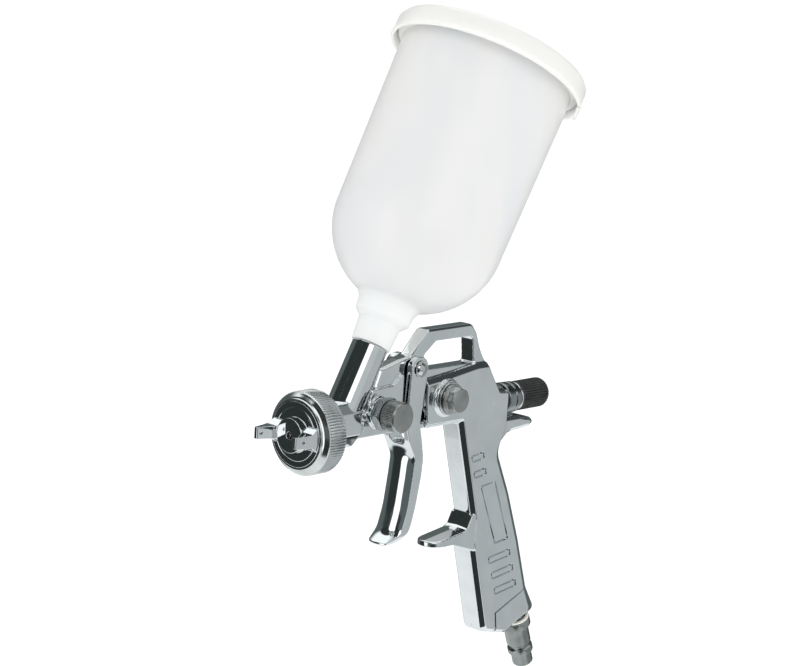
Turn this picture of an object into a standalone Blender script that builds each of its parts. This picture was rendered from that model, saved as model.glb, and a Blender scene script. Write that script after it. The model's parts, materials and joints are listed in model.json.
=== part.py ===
"""Gravity-feed HVLP spray gun, as an assembly of separate pieces.

The design is drawn in millimetres on the spray axis: X runs along the barrel, with the nozzle
towards -X, Z is up, and x = 0 is the front edge of the air cap ring's knurl. -Y is the gun's left
side. spot() turns such a point into the model's frame, in metres, whose origin is the middle of the
underside of the hanging loop's top bar.
"""
import math

import bmesh
import bpy
from mathutils import Matrix, Vector

MM = 0.001
GAP = 0.3                       # between pieces that touch

# Hanging loop: the bar's underside is the model's origin
HANG_X = 97.0
HANG_Z = 35.2

# Casting
BODY_HALF = 7.5                 # half the width of the handle and the rear block
FRONT_HALF = 6.0                # half the width of the block in front of the trigger
WEB_HALF = 4.0                  # half the width of the web that holds the pivot and the loop
FLAT_HALF = 5.1                 # half the width of the handle's flat front
BARREL_R = 6.5
HEAD_HALF = 9.2                 # half the width of the faceted head behind the ring
HEAD_TOP = 12.6
HEAD_BOTTOM = 9.3
HEAD_END_X = 30.0
BARREL_BORE_R = 5.2
NEEDLE_BORE_R = 3.2
FLUID_BORE_R = 4.5
NOZZLE_BORE_R = 6.0
REAR_FACE_X = 138.6
REAR_BOSS_R = 7.9

# Air cap and ring
RING_R = 19.5
RING_LENGTH = 10.5
RING_FRONT_X = -3.0
RING_BORE_R = 17.0
CAP_R = 15.1
CAP_FACE_X = -3.3
CAP_HUB_R = 8.05
CAP_HUB_X = -7.4
HORN_TIP_X = -16.4
HORN_TIP_Y = 13.4

# Cup, on an axis that leans back from the vertical
CUP_LEAN = math.radians(28.9)
CUP_RIM = (42.6, 36.3)          # x and z of the socket rim's middle
SOCKET_R = 8.6
SOCKET_BORE_R = 6.6
CUP_WALL = 1.6
CUP_R = 42.8
BOWL_R = 41.0                   # the rounded bottom is half an ellipsoid
BOWL_DEPTH = 39.5
BOWL_HEIGHT = 60.0
CUP_SHOULDER = 138.8            # where the wall's taper ends
CUP_TOP = 150.6                 # above the socket rim, along the cup's axis
LID_R = 48.7
LID_LOW = 143.0
TAB_LOW = 139.2                 # the lid's thumb tab hangs below its skirt, on the gun's left
TAB_ANGLE = math.radians(52)
LID_TOP = 154.1

# Trigger
PIVOT_X = 70.1
PIVOT_Z = 23.8
PIVOT_R = 2.4
TRIGGER_HALF = 8.2
FORK_HALF = 4.9

# Fluid needle and air valve, both on the spray axis
NEEDLE_R = 1.6
COLLAR_X = 70.1
COLLAR_R = 4.4
VALVE_HEAD_X = 96.0
GUIDE_STUB_X = 118.0
GUIDE_END_X = 148.6
KNOB_X = 150.5
KNOB_END_X = 170.8
KNOB_R = 7.5

# Fan control, on the left of the barrel
FAN_X = 44.2
FAN_Z = 5.8
FAN_FACE_Y = 22.2
FAN_KNOB_R = 7.35

# Plugs of the cross drilling, one on each side
PLUG_X = 90.6
PLUG_Z = 7.5
PLUG_BOSS_R = 9.0
PLUG_FACE_Y = 16.8

# Air inlet, on an axis that follows the handle's back
INLET_X = 162.9
INLET_Z = -117.2
INLET_LEAN = math.radians(21.3)

ROUND = 24                      # sides of a middling round piece


def spot(x, y, z):
    """A design point in millimetres, in the model's frame in metres."""
    return Vector((x - HANG_X, y, z - HANG_Z)) * MM


def turn_to(direction):
    """The rotation that takes +Z to a direction."""
    return Vector(direction).to_track_quat("Z", "Y").to_matrix().to_4x4()


ALONG_X = (1, 0, 0)
ALONG_Y = (0, 1, 0)
CUP_AXIS = (math.sin(CUP_LEAN), 0, math.cos(CUP_LEAN))
INLET_AXIS = (math.sin(INLET_LEAN), 0, -math.cos(INLET_LEAN))


# ---------------------------------------------------------------- materials

def finish(name, colour, metallic, roughness):
    material = bpy.data.materials.new(name)
    material.use_nodes = True
    shader = material.node_tree.nodes["Principled BSDF"]
    shader.inputs["Base Color"].default_value = (*colour, 1.0)
    shader.inputs["Metallic"].default_value = metallic
    shader.inputs["Roughness"].default_value = roughness
    return material


def make_finishes():
    return {
        "chrome": finish("chrome", (0.78, 0.80, 0.81), 1.0, 0.08),
        "nickel": finish("nickel", (0.55, 0.56, 0.55), 1.0, 0.28),
        "steel": finish("steel", (0.62, 0.62, 0.62), 1.0, 0.30),
        "brass": finish("brass", (0.80, 0.62, 0.30), 1.0, 0.30),
        "black": finish("black", (0.03, 0.03, 0.03), 0.0, 0.55),
        "cup": finish("cup", (0.93, 0.94, 0.93), 0.0, 0.35),
        "lid": finish("lid", (0.95, 0.95, 0.93), 0.0, 0.40),
        "seal": finish("seal", (0.88, 0.87, 0.83), 0.0, 0.50),
        "mesh": finish("mesh", (0.75, 0.78, 0.80), 0.0, 0.60),
    }


# ------------------------------------------------------------ shape helpers

def rounded(corners, sides=4):
    """An outline from corners (a, b, radius), each radius turned into an arc of a few sides."""
    outline = []
    for i, (a, b, radius) in enumerate(corners):
        here = Vector((a, b))
        if radius == 0:
            outline.append(here)
            continue
        back = Vector(corners[i - 1][:2]) - here
        ahead = Vector(corners[(i + 1) % len(corners)][:2]) - here
        half = back.angle(ahead) / 2
        reach = radius / math.tan(half)
        middle = here + (back.normalized() + ahead.normalized()).normalized() * radius / math.sin(half)
        start = here + back.normalized() * reach - middle
        end = here + ahead.normalized() * reach - middle
        sweep = start.angle_signed(end)
        for k in range(sides + 1):
            turned = Matrix.Rotation(-sweep * k / sides, 2) @ start
            outline.append(middle + turned)
    return outline


def mesh_object(name, bm, material, origin=(0, 0, 0), axis=None):
    """Turn a bmesh drawn in millimetres into an object, scaled to metres, at a design point."""
    bmesh.ops.remove_doubles(bm, verts=bm.verts, dist=1e-4)
    bmesh.ops.recalc_face_normals(bm, faces=bm.faces)
    mesh = bpy.data.meshes.new(name)
    bm.to_mesh(mesh)
    bm.free()
    mesh.shade_smooth()
    mesh.set_sharp_from_angle(angle=math.radians(35))
    if material:
        mesh.materials.append(material)
    thing = bpy.data.objects.new(name, mesh)
    rotation = turn_to(axis) if axis else Matrix.Identity(4)
    thing.matrix_world = Matrix.Translation(spot(*origin)) @ rotation @ Matrix.Scale(MM, 4)
    bpy.context.scene.collection.objects.link(thing)
    return thing


def turned(name, profile, material=None, origin=(0, 0, 0), axis=ALONG_X, sides=ROUND):
    """Turn a closed profile of (height, radius) points about an axis through the origin."""
    bm = bmesh.new()
    verts = [bm.verts.new((radius, 0, height)) for height, radius in profile]
    off_axis = [i for i in range(len(verts)) if profile[i - 1][1] + profile[i][1] > 0]
    edges = [bm.edges.new((verts[i - 1], verts[i])) for i in off_axis]
    bmesh.ops.spin(bm, geom=verts + edges, cent=(0, 0, 0), axis=(0, 0, 1), dvec=(0, 0, 0),
                   angle=math.tau, steps=sides, use_merge=True, use_duplicate=False)
    bmesh.ops.remove_doubles(bm, verts=bm.verts, dist=1e-4)
    return mesh_object(name, bm, material, origin, axis)


def rod(name, low, high, radius, material=None, origin=(0, 0, 0), axis=ALONG_X, sides=ROUND):
    """A plain cylinder between two heights on an axis."""
    profile = [(low, 0), (low, radius), (high, radius), (high, 0)]
    return turned(name, profile, material, origin, axis, sides)


def plate(name, outline, low, high, material=None, plane="XZ"):
    """Extrude an outline across Y (plane XZ), X (plane YZ) or Z (plane XY)."""
    bm = bmesh.new()
    place = {
        "XZ": lambda a, b, c: (a, c, b),
        "YZ": lambda a, b, c: (c, a, b),
        "XY": lambda a, b, c: (a, b, c),
    }[plane]
    base = bm.faces.new([bm.verts.new(place(a, b, low)) for a, b in outline])
    grown = bmesh.ops.extrude_face_region(bm, geom=[base])
    top = [item for item in grown["geom"] if isinstance(item, bmesh.types.BMVert)]
    bmesh.ops.translate(bm, vec=place(0, 0, high - low), verts=top)
    return mesh_object(name, bm, material)


def lofted(name, loops, material=None):
    """Bridge loops of points, each with the same number of points, into one closed shape."""
    bm = bmesh.new()
    rings = []
    for loop in loops:
        verts = [bm.verts.new(point) for point in loop]
        edges = [bm.edges.new((verts[i - 1], verts[i])) for i in range(len(verts))]
        rings.append((verts, edges))
    for (_, edges_a), (_, edges_b) in zip(rings, rings[1:]):
        bmesh.ops.bridge_loops(bm, edges=edges_a + edges_b)
    bm.faces.new(rings[0][0])
    bm.faces.new(rings[-1][0])
    return mesh_object(name, bm, material)


def stepped_plate(name, levels):
    """Join XZ outlines, each at its own y."""
    return lofted(name, [[(a, y, b) for a, b in outline] for y, outline in levels])


def tool(thing):
    """Mark an object as a construction shape, which isn't part of the gun."""
    thing.hide_render = True
    thing.display_type = "WIRE"
    return thing


def combine(thing, others, operation):
    """Add one Boolean modifier that takes a group of construction shapes at once."""
    group = bpy.data.collections.new(f"{thing.name}_{operation.lower()}")
    for other in others:
        group.objects.link(tool(other))
    modifier = thing.modifiers.new(operation.lower(), "BOOLEAN")
    modifier.operation = operation
    modifier.solver = "EXACT"
    modifier.operand_type = "COLLECTION"
    modifier.collection = group


def join(thing, *others):
    combine(thing, others, "UNION")


def cut(thing, *others):
    combine(thing, others, "DIFFERENCE")


def coil(name, start, end, radius, wire, turns, material):
    """A compression spring along the spray axis: a wire swept round a helix."""
    around = 10
    ring = 5
    count = int(turns * around)
    bm = bmesh.new()
    rings = []
    pitch = (end - start - 2 * wire) / turns
    for i in range(count + 1):
        angle = math.tau * i / around
        height = start + wire + pitch * i / around
        out = Vector((0, math.cos(angle), math.sin(angle)))
        centre = Vector((height, 0, 0)) + out * radius
        loop = []
        for k in range(ring):
            across = math.tau * k / ring
            along = Vector((wire * math.sin(across), 0, 0))
            loop.append(bm.verts.new(centre + out * wire * math.cos(across) + along))
        rings.append(loop)
    for near, far in zip(rings, rings[1:]):
        for k in range(ring):
            bm.faces.new((near[k - 1], near[k], far[k], far[k - 1]))
    bm.faces.new(rings[0])
    bm.faces.new(rings[-1])
    return mesh_object(name, bm, material)


# -------------------------------------------------------------- the casting

def handle_shape():
    """The handle: a flat-sided grip whose front and rear edges are chamfered over its whole length."""
    outer = rounded([
        (101.5, -2, 0), (105.3, -15.7, 0), (117.3, -57.5, 3), (116.9, -70, 3), (130.4, -118.2, 4),
        (149.4, -122.6, 5), (172.6, -113.4, 2.5), (164.6, -100.7, 4), (155.6, -74, 40), (145.3, -48, 40),
        (134.6, -26, 9), (138.3, -15, 2), (REAR_FACE_X, 4.6, 1), (131, 5.4, 0),
    ])
    inner = rounded([
        (104, -2, 0), (107.8, -15.7, 0), (119.8, -57.5, 3), (119.4, -70, 3), (132.6, -116.6, 3),
        (147.6, -120.3, 4), (166, -112.9, 2), (160.2, -100.7, 4), (151.2, -74, 40), (141, -48, 40),
        (130.2, -26, 9), (137.4, -13.4, 2), (REAR_FACE_X - 1, 4.2, 1), (131, 5.0, 0),
    ])
    levels = [(-BODY_HALF, inner), (-FLAT_HALF, outer), (FLAT_HALF, outer), (BODY_HALF, inner)]
    return stepped_plate("handle_shape", levels)


def web_shape():
    """The web that holds the trigger's pivot and, behind it, the hanging loop."""
    web = plate("web_shape", rounded([
        (38, 4, 0), (46.8, 25.2, 0), (61, 28.6, 3), (67.4, 29.6, 2), (78.2, 41.1, 2.5), (110.8, 41.3, 4.5),
        (115, 36, 2), (117.4, 29.6, 0), (123.4, 18.6, 0), (131, 5.2, 0), (126, -4, 0), (50, -4, 0),
    ]), -WEB_HALF, WEB_HALF)
    loop = plate("loop_hole", rounded([
        (79.6, 21.8, 1.5), (76.2, 29, 1.5), (84.6, HANG_Z, 1.5), (111.3, HANG_Z, 2.5), (113, 21.8, 1.2),
    ]), -20, 20)
    cut(web, loop)
    return web


def upright_shape():
    """The loop's rear upright, whose sides spread from the web's width to the handle's."""
    low = 8.0
    high = 25.5
    bm = bmesh.new()
    for x, z, half in ((113.2, low, BODY_HALF), (128.6, low, BODY_HALF),
                       (118.6, high, WEB_HALF), (113.2, high, WEB_HALF)):
        bm.verts.new((x, -half, z))
        bm.verts.new((x, half, z))
    bmesh.ops.convex_hull(bm, input=bm.verts)
    return mesh_object("upright_shape", bm, None)


def block_shapes():
    """The thicker blocks in front of and behind the trigger, and the barrel through them."""
    front = plate("front_block", rounded([
        (32, -5.4, 0), (61.6, -5.4, 0), (61.6, 23, 1), (55.2, 17.3, 2), (40, 16.4, 0),
    ]), -FRONT_HALF, FRONT_HALF)
    bevel = BODY_HALF - FLAT_HALF
    block = rounded([
        (76, -6.8, 0), (76, 17.2, 1.5), (97, 19.3, 0), (113.5, 21.5, 0), (121.6, 21.5, 0), (131, 5.2, 0),
        (REAR_FACE_X - 1, 4.6, 0), (REAR_FACE_X - 1, -12, 0), (108, -12, 0), (104, -6.8, 2),
    ])
    slimmer = [Vector((a, b + bevel if b < 0 else b - bevel if b > 15 else b)) for a, b in block]
    rear = stepped_plate("rear_block", [(-BODY_HALF, slimmer), (-FLAT_HALF, block), (FLAT_HALF, block),
                                        (BODY_HALF, slimmer)])
    barrel = rod("barrel_shape", 12, 95, BARREL_R, sides=28)
    collar = rod("collar_shape", 5.3, 10, 16.7, sides=28)
    boss = rod("rear_boss", 126, 137, REAR_BOSS_R, sides=28)
    fan_boss = rod("fan_boss", -8.5, 0, 7.3, origin=(FAN_X, 0, FAN_Z), axis=ALONG_Y)
    plug_boss = rod("plug_boss", -9.3, 9.3, PLUG_BOSS_R, origin=(PLUG_X, 0, PLUG_Z), axis=ALONG_Y)
    return [front, rear, barrel, collar, head_shape(), boss, fan_boss, plug_boss]


def head_shape():
    """The faceted head between the ring and the barrel, tall enough to take the cup's socket."""
    half = [(3.6, -HEAD_BOTTOM), (HEAD_HALF, -2.2), (HEAD_HALF, 7.4), (6.6, HEAD_TOP)]
    outline = half + [(-y, z) for y, z in half[::-1]]
    levels = ((9, 1.0), (HEAD_END_X, 1.0), (HEAD_END_X + 5.4, 0.62))
    return lofted("head_shape", [[(x, y * size, z * size) for y, z in outline] for x, size in levels])


def socket_shape():
    return turned("socket_shape", [
        (-38, 0), (-38, SOCKET_R), (-0.8, SOCKET_R), (0, SOCKET_R - 0.8), (0, 0),
    ], origin=(CUP_RIM[0], 0, CUP_RIM[1]), axis=CUP_AXIS)


def finger_rest_shape():
    """A rounded tongue on the handle's front, which rests on the hand."""
    plan = [Vector((121, -7)), Vector((121, 7))]
    for k in range(9):
        angle = math.pi / 2 + math.pi * k / 8
        plan.append(Vector((95 + 7 * math.cos(angle), 7 * math.sin(angle))))
    tongue = plate("finger_rest_shape", plan, -80, -50, plane="XY")
    side = plate("finger_rest_side", rounded([
        (84, -65.4, 0), (84, -67.8, 0), (103, -68.2, 8), (116, -72.5, 0), (122, -74, 0), (122, -54, 0),
        (116.3, -55.5, 0), (113.2, -61.6, 3),
    ]), -9, 9)
    combine(tongue, [side], "INTERSECT")
    return tongue


def tang_shape():
    """The beak at the top of the handle's back, over the web of the hand."""
    return plate("tang_shape", rounded([
        (130, -8.6, 0), (151.5, -8.8, 8), (161.5, -11.6, 3), (164.3, -14.6, 1.2), (159, -16.2, 2),
        (144, -17.2, 8),
        (136, -24, 0), (130, -20, 0),
    ]), -4.6, 4.6)


def trigger_relief(side):
    """The slot beside the web in which one arm of the trigger swings."""
    outline = [(61.8, -16), (61.8, 36), (76.8, 36), (76.8, 7), (77.8, -3), (80.5, -10), (80.5, -16)]
    low, high = sorted((side * (WEB_HALF + GAP), side * 14))
    return plate("trigger_relief", [Vector(point) for point in outline], low, high)


def body_bores():
    """Every hole in the casting: the stepped main bore, the cup's socket, the air way and the rest."""
    cup_origin = (CUP_RIM[0], 0, CUP_RIM[1])
    main = turned("main_bore", [
        (0, 0), (0, NOZZLE_BORE_R), (17, NOZZLE_BORE_R), (17, FLUID_BORE_R), (38, FLUID_BORE_R),
        (38, NEEDLE_BORE_R), (58, NEEDLE_BORE_R), (58, BARREL_BORE_R), (145, BARREL_BORE_R), (145, 0),
    ])
    socket = turned("socket_bore", [
        (-40, 0), (-40, 3.4), (-16, 3.4), (-16, SOCKET_BORE_R), (5, SOCKET_BORE_R), (5, 0),
    ], origin=cup_origin, axis=CUP_AXIS)
    inlet = turned("inlet_bore", [
        (-124, 0), (-124, 3.6), (-12, 3.6), (-12, 6.0), (8, 6.0), (8, 0),
    ], origin=(INLET_X, 0, INLET_Z), axis=INLET_AXIS, sides=24)
    fan = turned("fan_bore", [
        (-12, 0), (-12, 4.9), (-4.5, 4.9), (-4.5, 2.2), (4.2, 2.2), (4.2, 0),
    ], origin=(FAN_X, 0, FAN_Z), axis=ALONG_Y, sides=24)
    cross = rod("cross_bore", -14, 14, 4.0, origin=(PLUG_X, 0, PLUG_Z), axis=ALONG_Y, sides=24)
    pivot = rod("pivot_bore", -12, 12, PIVOT_R + GAP, origin=(PIVOT_X, 0, PIVOT_Z), axis=ALONG_Y, sides=24)
    return [main, socket, inlet, fan, cross, pivot]


def make_body(finishes):
    """The chromed die casting: head, barrel, cup socket, hanging loop and handle in one piece."""
    body = handle_shape()
    body.name = "gun_body"
    body.data.materials.append(finishes["chrome"])
    join(body, web_shape(), upright_shape(), *block_shapes(), socket_shape(), finger_rest_shape(),
         tang_shape())
    cut(body, trigger_relief(-1), trigger_relief(1), *body_bores())


# ------------------------------------------------------- nozzle and air cap

def make_front(finishes):
    turned("air_cap_ring", [
        (RING_FRONT_X, CAP_R + GAP), (RING_FRONT_X, 16.4), (-0.4, 19.1), (0, RING_R),
        (RING_LENGTH - 0.8, RING_R),
        (RING_LENGTH, RING_R - 0.8), (RING_LENGTH, RING_BORE_R), (-1.1, RING_BORE_R), (-1.1, CAP_R + GAP),
    ], finishes["nickel"], sides=36)
    make_air_cap(finishes)
    turned("fluid_nozzle", [
        (-7.8, 0.65), (-7.8, 1.2), (-6.2, 1.4), (-2.0, 4.4), (1.0, 5.6), (3.0, 7.2), (5.0, 7.2), (5.0, 5.7),
        (16, 5.7), (16, 2.2), (-3.5, 2.2), (-6.6, 0.65),
    ], finishes["steel"], sides=24)
    turned("air_distributor", [
        (3.4, 7.6), (3.4, 14.2), (5.0, 14.2), (5.0, 7.6),
    ], finishes["brass"], sides=28)


def make_air_cap(finishes):
    """The air cap: a turned shell with a raised hub and two horns that shape the fan."""
    cap = turned("air_cap", [
        (1.2, 16.7), (-0.8, 16.7), (-0.8, CAP_R), (CAP_FACE_X, CAP_R), (CAP_FACE_X, 9.3),
        (CAP_HUB_X, CAP_HUB_R),
        (CAP_HUB_X, 1.7), (-6.6, 1.9), (-2.2, 6.4), (-1.5, 9.0), (-1.3, 14.0), (1.2, 14.4),
    ], finishes["chrome"], sides=36)
    for side in (-1, 1):
        horn = plate("horn_side", rounded([
            (-1.5, side * 8.2, 0), (CAP_HUB_X + 1, side * 8.2, 0), (HORN_TIP_X, side * 11.4, 0.5),
            (HORN_TIP_X, side * HORN_TIP_Y, 0.5), (-8.0, side * 14.6, 0), (-1.5, side * 14.9, 0),
        ], sides=2), -7, 7, plane="XY")
        width = plate("horn_front", [
            Vector(point) for point in ((0, -6), (0, 6), (CAP_FACE_X - 0.6, 5.2), (CAP_HUB_X, 3.0),
                                        (-18, 2.6),
                                        (-18, -2.6), (CAP_HUB_X, -3.0), (CAP_FACE_X - 0.6, -5.2))
        ], -16, 16)
        combine(horn, [width], "INTERSECT")
        combine(horn, [rod("horn_limit", -20, 0, CAP_R - 0.15, sides=36)], "INTERSECT")
        join(cap, horn)
        air_hole = rod("horn_air_hole", -9, 9, 0.7, origin=(-13.4, side * 12, 0), axis=(1, side * 1.2, 0),
                       sides=8)
        cut(cap, air_hole)


# ------------------------------------------------- needle, valve and springs

def make_needle(finishes):
    """The fluid needle, with the collar that the trigger's lugs pull and the shoulder of its spring."""
    turned("fluid_needle", [
        (-7.4, 0), (-7.4, 0.25), (-4.6, 0.5), (-2.5, 1.1), (60, 1.1), (60, NEEDLE_R), (COLLAR_X, NEEDLE_R),
        (COLLAR_X, COLLAR_R), (COLLAR_X + 3, COLLAR_R), (COLLAR_X + 3, NEEDLE_R),
        (GUIDE_STUB_X + 0.4, NEEDLE_R),
        (GUIDE_STUB_X + 0.4, 3.0), (GUIDE_STUB_X + 3, 3.0), (GUIDE_STUB_X + 3, 0),
    ], finishes["steel"], sides=20)
    turned("needle_packing", [(38.4, 1.4), (38.4, 2.9), (43.2, 2.9), (43.2, 1.4)], finishes["seal"], sides=20)
    turned("packing_nut", [(43.6, 1.4), (43.6, 2.9), (51, 2.9), (51, 1.4)], finishes["brass"], sides=20)
    coil("needle_spring", GUIDE_STUB_X + 3.4, 132.6, 2.75, 0.35, 6, finishes["steel"])


def make_air_valve(finishes):
    """The air valve: a sleeve round the needle, pushed open by the needle's collar."""
    turned("air_valve_stem", [
        (COLLAR_X + 3.4, 2.0), (COLLAR_X + 3.4, 3.4), (VALVE_HEAD_X, 3.4), (VALVE_HEAD_X, 4.7),
        (VALVE_HEAD_X + 3, 4.7), (VALVE_HEAD_X + 3, 2.0),
    ], finishes["steel"], sides=24)
    turned("air_valve_seat", [
        (VALVE_HEAD_X - 3.6, 3.75), (VALVE_HEAD_X - 3.6, 4.9), (VALVE_HEAD_X - 0.4, 4.9),
        (VALVE_HEAD_X - 0.4, 3.75),
    ], finishes["seal"], sides=24)
    coil("air_valve_spring", VALVE_HEAD_X + 3.4, GUIDE_STUB_X - 0.4, 4.1, 0.45, 6, finishes["steel"])


def make_rear(finishes):
    """The needle guide nut, the lock ring and the black fluid knob."""
    turned("needle_guide_nut", [
        (GUIDE_STUB_X, 3.6), (GUIDE_STUB_X, 4.9), (REAR_FACE_X + GAP, 4.9), (REAR_FACE_X + GAP, 8.0),
        (GUIDE_END_X - 0.8, 7.8), (GUIDE_END_X, 7.0), (GUIDE_END_X, 3.0), (140, 3.0), (140, 3.6),
    ], finishes["chrome"])
    turned("knob_lock_ring", [
        (GUIDE_END_X + GAP, 3.1), (GUIDE_END_X + GAP, 7.3), (KNOB_X - GAP, 7.3), (KNOB_X - GAP, 3.1),
    ], finishes["chrome"])
    turned("fluid_knob", [
        (133, 0), (133, 2.7), (KNOB_X, 2.7), (KNOB_X, KNOB_R - 0.4), (KNOB_X + 0.4, KNOB_R),
        (KNOB_END_X - 1.2, KNOB_R), (KNOB_END_X, KNOB_R - 1.2), (KNOB_END_X, 0),
    ], finishes["black"])


# ---------------------------------------------------------- trigger and pin

def make_trigger(finishes):
    """The forked trigger, whose inner lugs pull the needle's collar back."""
    trigger = plate("trigger", rounded([
        (64, 29.6, 5.6), (76, 29.6, 5.6), (74.8, 17.5, 0), (73.2, 6, 20), (71.9, -3, 15), (74.6, -13.5, 12),
        (75, -20, 0), (74.4, -28, 0), (71.6, -43, 60), (68.6, -54, 20), (63.6, -60.8, 2.5), (56.9, -61.4, 1),
        (56.7, -60, 0.6), (62.4, -56, 8), (66, -45, 40), (68.4, -29, 0), (69.4, -20, 8), (64.9, -11, 6),
        (63.1, -4, 10), (63.2, 9, 0),
    ], sides=3), -TRIGGER_HALF, TRIGGER_HALF, finishes["chrome"])
    front_view = plate("trigger_front_view", rounded([
        (-TRIGGER_HALF - 0.5, 40, 0), (TRIGGER_HALF + 0.5, 40, 0), (TRIGGER_HALF, -62, 7.4),
        (-TRIGGER_HALF, -62, 7.4),
    ]), 40, 90, plane="YZ")
    combine(trigger, [front_view], "INTERSECT")
    cut(trigger, plate("fork_gap", [Vector(point) for point in ((50, -13), (90, -13), (90, 40), (50, 40))],
                       -FORK_HALF, FORK_HALF))
    for side in (-1, 1):
        low, high = sorted((side * 2.5, side * (FORK_HALF + 1)))
        lug = rod("collar_lug", low, high, 1.8, origin=(COLLAR_X - 2.1, 0, 0), axis=ALONG_Y, sides=16)
        join(trigger, lug)
    bore = rod("trigger_bore", -12, 12, PIVOT_R + GAP, origin=(PIVOT_X, 0, PIVOT_Z), axis=ALONG_Y, sides=24)
    cut(trigger, bore)
    pivot_origin = (PIVOT_X, 0, PIVOT_Z)
    turned("trigger_pivot_screw", [
        (-10.2, 0), (-10.0, 2.2), (-9.4, 3.6), (-8.5, 4.1), (-8.5, PIVOT_R), (10.4, PIVOT_R), (10.4, 0),
    ], finishes["nickel"], pivot_origin, ALONG_Y, 24)
    nut = rod("trigger_pivot_nut", 8.5, 11.2, 4.6, finishes["nickel"], pivot_origin, ALONG_Y, sides=6)
    cut(nut, rod("pivot_nut_bore", 5, 15, PIVOT_R + GAP, origin=pivot_origin, axis=ALONG_Y, sides=24))


# -------------------------------------------------------- side controls

def make_fan_control(finishes):
    origin = (FAN_X, 0, FAN_Z)
    nut = rod("fan_gland_nut", -13.3, -8.8, 8.4, finishes["nickel"], origin, ALONG_Y, sides=6)
    join(nut, rod("gland_stub", -9, -4.8, 4.6, origin=origin, axis=ALONG_Y, sides=24))
    cut(nut, rod("gland_bore", -16, 0, 2.2, origin=origin, axis=ALONG_Y, sides=24))
    turned("fan_valve_stem", [
        (-17.6, 0), (-17.6, 1.9), (1.0, 1.9), (3.6, 0.5), (3.6, 0),
    ], finishes["brass"], origin, ALONG_Y, 24)
    turned("fan_knob", [
        (-FAN_FACE_Y, 0), (-FAN_FACE_Y, 6.7), (-FAN_FACE_Y + 0.6, FAN_KNOB_R), (-13.9, FAN_KNOB_R),
        (-13.6, 7.0),
        (-13.6, 2.2), (-17.9, 2.2), (-17.9, 0),
    ], finishes["nickel"], origin, ALONG_Y)


def make_plugs(finishes):
    """The plug and sealing washer at each end of the cross drilling."""
    for name, side in (("left", 1), ("right", -1)):
        axis = (0, -side, 0)
        origin = (PLUG_X, 0, PLUG_Z)
        plug = rod(f"passage_plug_{name}", 12.0, PLUG_FACE_Y, 6.3, finishes["nickel"], origin, axis, sides=8)
        join(plug, turned("plug_flange", [
            (5.9, 0), (5.9, 3.7), (10.9, 3.7), (10.9, 7.3), (12.2, 7.3), (12.6, 6.0), (12.6, 0),
        ], None, origin, axis, 24))
        turned(f"plug_washer_{name}", [
            (9.6, 4.0), (9.6, 8.1), (10.6, 8.1), (10.6, 4.0),
        ], finishes["steel"], origin, axis, 24)


# ---------------------------------------------------------------- air inlet

def make_inlet(finishes):
    origin = (INLET_X, 0, INLET_Z)
    turned("air_inlet_nipple", [
        (-10, 3.0), (-10, 5.7), (1.6, 5.7), (1.6, 8.0), (5.6, 8.0), (6.4, 6.3), (15.8, 6.3), (16.6, 5.2),
        (17.8, 5.2),
        (18.6, 6.5), (21.4, 6.5), (22.2, 5.3), (28.2, 5.3), (29.2, 4.4), (29.2, 3.0),
    ], finishes["nickel"], origin, INLET_AXIS, 28)
    seal_profile = [(GAP, 6.1), (GAP, 7.7), (1.3, 7.7), (1.3, 6.1)]
    turned("inlet_seal", seal_profile, finishes["seal"], origin, INLET_AXIS, 28)


# ---------------------------------------------------------------------- cup

def bowl(first_radius, inset=0.0, steps=7):
    """The cup's rounded bottom, as (height, radius) points on an ellipse, from a radius outwards."""
    start = math.asin(first_radius / (BOWL_R - inset))
    points = []
    for k in range(steps + 1):
        angle = start + (math.pi / 2 - start) * k / steps
        height = BOWL_HEIGHT - (BOWL_DEPTH - inset) * math.cos(angle)
        points.append((height, (BOWL_R - inset) * math.sin(angle)))
    return points


def make_cup(finishes):
    origin = (CUP_RIM[0], 0, CUP_RIM[1])
    outside = [
        (-14, 5.1), (-14, 6.3), (GAP, 6.3), (GAP, 9.4), (11.6, 10.2), (14.6, 13.3), (19.8, 13.8),
    ] + bowl(13.9) + [(CUP_SHOULDER, CUP_R), (145.6, CUP_R), (146.4, 45.8), (CUP_TOP, 45.8)]
    inside = [(CUP_TOP, CUP_R - CUP_WALL), (CUP_SHOULDER, CUP_R - CUP_WALL)] + bowl(5.1, CUP_WALL)[::-1]
    turned("cup", outside + inside, finishes["cup"], origin, CUP_AXIS, 48)
    turned("cup_strainer", [
        (-13.4, 0), (-13.4, 4.2), (9, 4.6), (9, 3.9), (-12.6, 3.5), (-12.6, 0),
    ], finishes["mesh"], origin, CUP_AXIS, 20)
    inside_top = LID_TOP - 1.9
    lid = turned("cup_lid", [
        (LID_LOW, LID_R - 1.8), (LID_LOW, LID_R), (LID_TOP - 1.6, LID_R - 0.3), (LID_TOP, LID_R - 1.9),
        (LID_TOP, 0),
        (inside_top, 0), (inside_top, 39.4), (146.5, 39.4), (146.5, 40.6), (inside_top, 40.6),
        (inside_top, LID_R - 1.8),
    ], finishes["lid"], origin, CUP_AXIS, 48)
    join(lid, lid_tab(Vector(origin)))


def lid_tab(origin):
    """The thumb tab under the lid's skirt."""
    downhill = Vector((math.cos(CUP_LEAN), 0, -math.sin(CUP_LEAN)))
    outward = downhill * math.cos(TAB_ANGLE) - Vector(ALONG_Y) * math.sin(TAB_ANGLE)
    sideways = outward.cross(Vector(CUP_AXIS))
    bm = bmesh.new()
    for height in (TAB_LOW, LID_LOW + 0.6):
        for radius in (LID_R - 2.1, LID_R - 0.5):
            for offset in (-6, 6):
                bm.verts.new(origin + Vector(CUP_AXIS) * height + outward * radius + sideways * offset)
    bmesh.ops.convex_hull(bm, input=bm.verts)
    return mesh_object("lid_tab", bm, None)


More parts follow.
